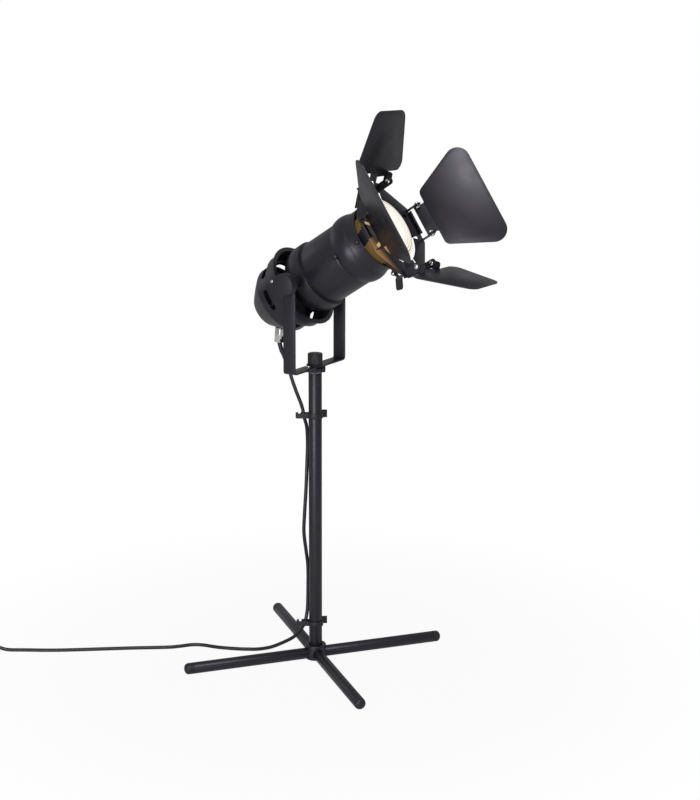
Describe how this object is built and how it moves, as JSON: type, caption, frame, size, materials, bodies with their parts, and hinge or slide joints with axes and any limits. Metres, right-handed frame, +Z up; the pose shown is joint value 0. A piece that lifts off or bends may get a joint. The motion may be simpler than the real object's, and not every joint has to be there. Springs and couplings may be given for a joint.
{
  "type": "table lamp",
  "caption": "Table lamp shaped like a small stage spotlight: can head with four barn doors, tilting in a swivelling U-shaped yoke on a pole with a cross base.",
  "frame": {"origin": "on the table, at the middle of the hub's underside", "axes": "+Z up along the pole; the head looks along -Y, and its tilt axis is along X"},
  "size_m": [0.4371, 0.6779, 0.6685],
  "materials": {
    "black_powder_coat": "satin black powder coat",
    "black_plastic": "matt black moulded plastic",
    "bright_plate": "bright zinc or nickel plate",
    "lamp_brass": "brass-coloured screw cap",
    "lamp_bulb": "mirrored reflector bulb",
    "lamp_face": "lens of concentric rings",
    "lead_sheath": "black flexible sheath"
  },
  "bodies": {
    "stand": {"hub": "black_powder_coat", "pole": "black_powder_coat", "swivel_stud": "bright_plate", "swivel_washer": "bright_plate", "swivel_nut": "black_powder_coat", "swivel_flange": "black_powder_coat", "cable_clip_upper": "black_plastic", "cable_clip_lower": "black_plastic", "lead_run": "lead_sheath", "lead_coil": "lead_sheath", "switch_housing": "black_plastic", "mains_plug": "black_plastic", "leg_1": "black_powder_coat", "leg_2": "black_powder_coat", "leg_3": "black_powder_coat", "leg_4": "black_powder_coat", "leg_end_cap_1": "black_plastic", "leg_end_cap_2": "black_plastic", "leg_end_cap_3": "black_plastic", "leg_end_cap_4": "black_plastic"},
    "yoke": {"yoke": "black_powder_coat", "earth_screw": "bright_plate", "pivot_washer_near": "black_plastic", "pivot_washer_far": "black_plastic", "lead_turn": "lead_sheath"},
    "head": {"barn_door_plate": "black_powder_coat", "cable_gland": "bright_plate", "can_body": "black_powder_coat", "hinge_screw_bottom_1": "bright_plate", "hinge_screw_bottom_2": "bright_plate", "hinge_screw_far_1": "bright_plate", "hinge_screw_far_2": "bright_plate", "hinge_screw_near_1": "bright_plate", "hinge_screw_near_2": "bright_plate", "hinge_screw_top_1": "bright_plate", "hinge_screw_top_2": "bright_plate", "holder_clip_bottom": "black_powder_coat", "holder_clip_far": "black_powder_coat", "holder_clip_near": "black_powder_coat", "holder_clip_top": "black_powder_coat", "holder_nipple": "bright_plate", "lamp_holder": "black_plastic", "lamp_lens": "lamp_face", "lamp_reflector": "lamp_bulb", "lamp_screw_cap": "lamp_brass", "lead_boot": "black_plastic", "lead_upper": "lead_sheath", "pivot_stud_far": "black_powder_coat", "pivot_stud_near": "black_powder_coat", "rear_housing": "black_powder_coat"},
    "cap_knob": {"cap_knob": "black_plastic"},
    "knob_near": {"pivot_knob_near": "black_plastic"},
    "knob_far": {"pivot_knob_far": "black_plastic"},
    "door_far": {"door_far": "black_powder_coat"},
    "door_near": {"door_near": "black_powder_coat"},
    "door_top": {"door_top": "black_powder_coat"},
    "door_bottom": {"door_bottom": "black_powder_coat"},
    "latch": {"latch": "black_powder_coat"},
    "switch_rocker": {"switch_rocker": "black_plastic"}
  },
  "joints": [
    {"name": "swivel", "type": "hinge", "parent": "stand", "child": "yoke", "pos_m": [0, 0, 0.3675], "axis": [0, 0, 1], "range_deg": [-60, 90], "deforming": ["lead_turn"]},
    {"name": "tilt", "type": "hinge", "parent": "yoke", "child": "head", "pos_m": [0, 0, 0.4739], "axis": [-1, 0, 0], "range_deg": [-40, 14], "deforming": ["lead_upper"]},
    {"name": "cap_knob_turn", "type": "hinge", "parent": "stand", "child": "cap_knob", "pos_m": [0, 0, 0.3713], "axis": [0, 0, 1], "range_deg": [-180, 180]},
    {"name": "knob_near_turn", "type": "hinge", "parent": "head", "child": "knob_near", "pos_m": [-0.0587, 0, 0.4739], "axis": [-1, 0, 0], "range_deg": [-180, 180]},
    {"name": "knob_far_turn", "type": "hinge", "parent": "head", "child": "knob_far", "pos_m": [0.0587, 0, 0.4739], "axis": [1, 0, 0], "range_deg": [-180, 180]},
    {"name": "door_far_hinge", "type": "hinge", "parent": "head", "child": "door_far", "pos_m": [0.053, -0.11582, 0.54431], "axis": [0, -0.5395, -0.842], "range_deg": [-67, 66]},
    {"name": "door_near_hinge", "type": "hinge", "parent": "head", "child": "door_near", "pos_m": [-0.053, -0.11582, 0.54431], "axis": [0, 0.5395, 0.842], "range_deg": [-51.5, 81.5]},
    {"name": "door_top_hinge", "type": "hinge", "parent": "head", "child": "door_top", "pos_m": [0, -0.08722, 0.58893], "axis": [-1, 0, 0], "range_deg": [-82, 51]},
    {"name": "door_bottom_hinge", "type": "hinge", "parent": "head", "child": "door_bottom", "pos_m": [0, -0.14441, 0.49968], "axis": [1, 0, 0], "range_deg": [-80, 53]},
    {"name": "latch_hinge", "type": "hinge", "parent": "head", "child": "latch", "pos_m": [0, -0.10944, 0.48808], "axis": [1, 0, 0], "range_deg": [0, 40]},
    {"name": "switch_rocker_tilt", "type": "hinge", "parent": "stand", "child": "switch_rocker", "pos_m": [-0.20973, 0.38215, 0.0143], "axis": [0.8502, 0.5265, 0], "range_deg": [0, 14]}
  ]
}
